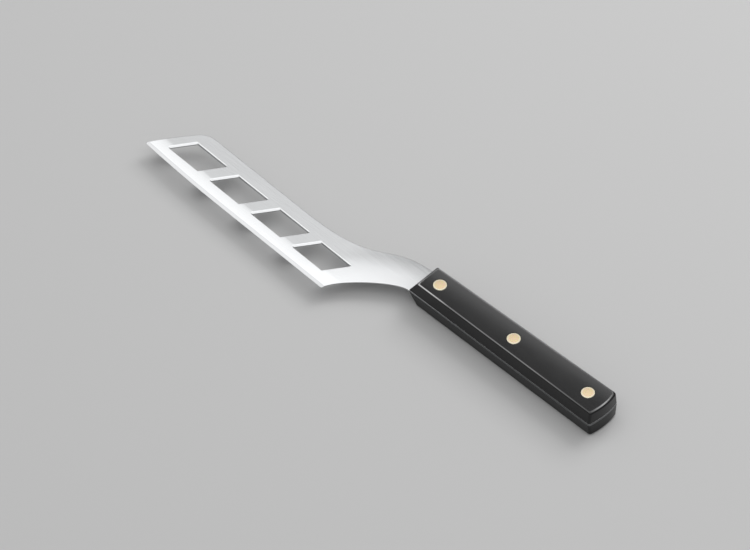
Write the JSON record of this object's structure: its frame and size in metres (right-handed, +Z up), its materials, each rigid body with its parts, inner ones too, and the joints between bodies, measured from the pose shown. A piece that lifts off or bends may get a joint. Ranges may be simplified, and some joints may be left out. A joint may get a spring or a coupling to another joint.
{
  "type": "foie gras knife",
  "caption": "Foie gras knife with a thin cranked blade pierced by a row of slanted windows, a full tang, black scales and flush brass rivets.",
  "frame": {"origin": "under the middle of the bounding box, on the surface that the lower scale rests on", "axes": "+X along the handle to the butt, +Y across to the spine, +Z up, with the knife lying on its side"},
  "size_m": [0.28, 0.046, 0.0161],
  "materials": {
    "blade_steel": "polished, with a fine satin grain",
    "scale_black": "polished black",
    "rivet_brass": "ground flush and polished"
  },
  "bodies": {
    "root": {"blade": "blade_steel", "scale_upper": "scale_black", "scale_lower": "scale_black", "rivet_1_socket": "rivet_brass", "rivet_1_post": "rivet_brass", "rivet_2_socket": "rivet_brass", "rivet_2_post": "rivet_brass", "rivet_3_socket": "rivet_brass", "rivet_3_post": "rivet_brass"}
  },
  "joints": []
}
